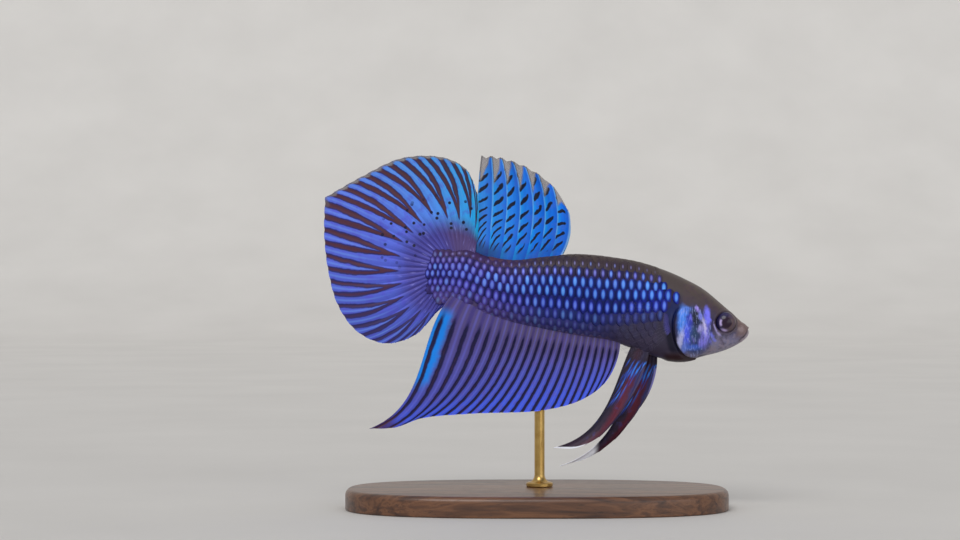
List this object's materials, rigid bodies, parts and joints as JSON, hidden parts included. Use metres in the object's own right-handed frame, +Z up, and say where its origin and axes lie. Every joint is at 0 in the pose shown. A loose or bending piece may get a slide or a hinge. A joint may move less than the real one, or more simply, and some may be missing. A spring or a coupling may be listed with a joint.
{
  "type": "betta fish model on a stand",
  "caption": "Still life-size male betta with spread dorsal, tail and anal fins, trailing pelvic fins and bright gill covers, held over a flat oval stand by one rod.",
  "frame": {"origin": "on the surface that the stand rests on, under the middle of the model", "axes": "+X towards the snout, +Z up, so that the fish's right side faces -Y"},
  "size_m": [0.0668, 0.034, 0.0554],
  "materials": {
    "scaled_skin": "satin, iridescent blue scales on dark navy skin",
    "bright_cover": "bright metallic-looking blue",
    "fin_blue": "azure rays with dark red-brown and black markings",
    "clear_fin": "nearly clear membrane with faint rays",
    "eye_gloss": "polished, dark pupil with a pale blue ring",
    "walnut": "oiled, satin",
    "brass": "satin"
  },
  "bodies": {
    "root": {"head": "scaled_skin", "lower_jaw": "scaled_skin", "trunk": "scaled_skin", "tail_stalk": "scaled_skin", "gill_cover_left": "bright_cover", "gill_cover_right": "bright_cover", "eye_left": "eye_gloss", "eye_right": "eye_gloss", "caudal_fin": "fin_blue", "dorsal_fin": "fin_blue", "anal_fin": "fin_blue", "pelvic_fin_left": "fin_blue", "pelvic_fin_right": "fin_blue", "pectoral_fin_left": "clear_fin", "pectoral_fin_right": "clear_fin", "stand_base": "walnut", "stand_rod": "brass"}
  },
  "joints": []
}
